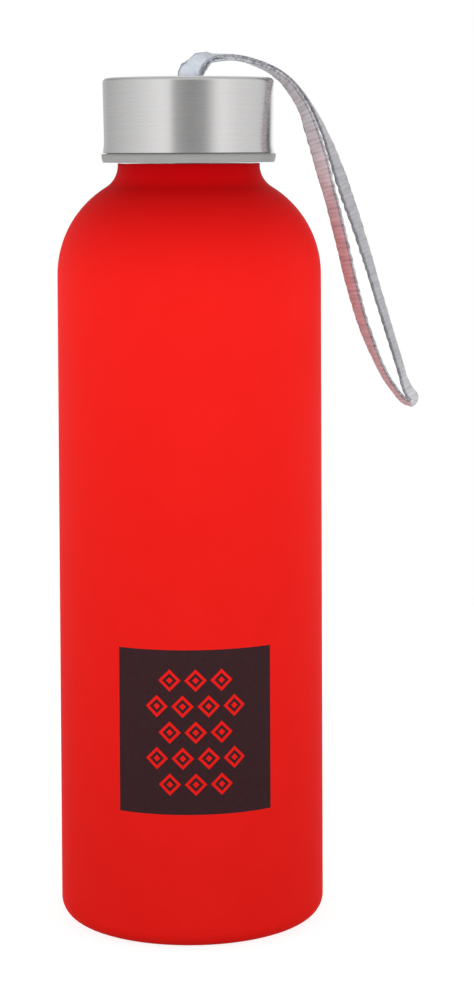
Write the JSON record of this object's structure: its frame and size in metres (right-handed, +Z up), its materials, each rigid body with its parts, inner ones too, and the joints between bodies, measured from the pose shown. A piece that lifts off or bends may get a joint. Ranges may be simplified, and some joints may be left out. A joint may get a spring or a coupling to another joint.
{
  "type": "glass water bottle",
  "caption": "Slim red-coated glass drinking bottle with a brushed steel screw cap and a grey webbing loop that leaves the cap through a slot.",
  "frame": {"origin": "middle of the standing face of the bottle, on the surface it stands on", "axes": "+Z up along the bottle's axis, front with the printed panel towards -Y, webbing loop over the cap to +X"},
  "size_m": [0.0897, 0.065, 0.213],
  "materials": {
    "glass": "clear, polished",
    "red_coat": "satin, soft to the touch, with a dark printed panel low on the front",
    "seal": "matt silicone",
    "grey_plastic": "fine satin",
    "cover_steel": "brushed round the cap",
    "pin_steel": "plain",
    "webbing": "woven, ribbed across"
  },
  "bodies": {
    "bottle": {"glass_bottle": "glass", "soft_touch_coat": "red_coat"},
    "seal": {"seal_ring": "seal"},
    "cap": {"cap_insert": "grey_plastic", "cap_cover": "cover_steel", "strap_pin": "pin_steel", "strap_loop": "webbing"}
  },
  "joints": [
    {"name": "cap_rise", "type": "slide", "parent": "bottle", "child": "seal", "axis": [0, 0, 1], "range_m": [0, 0.01694]},
    {"name": "cap_turn", "type": "hinge", "parent": "seal", "child": "cap", "pos_m": [0, 0, 0.2], "axis": [0, 0, 1], "range_deg": [0, 1440]}
  ],
  "couplings": [
    {"joint": "cap_rise", "follows": "cap_turn", "m_per_rad": 0.00067376}
  ]
}
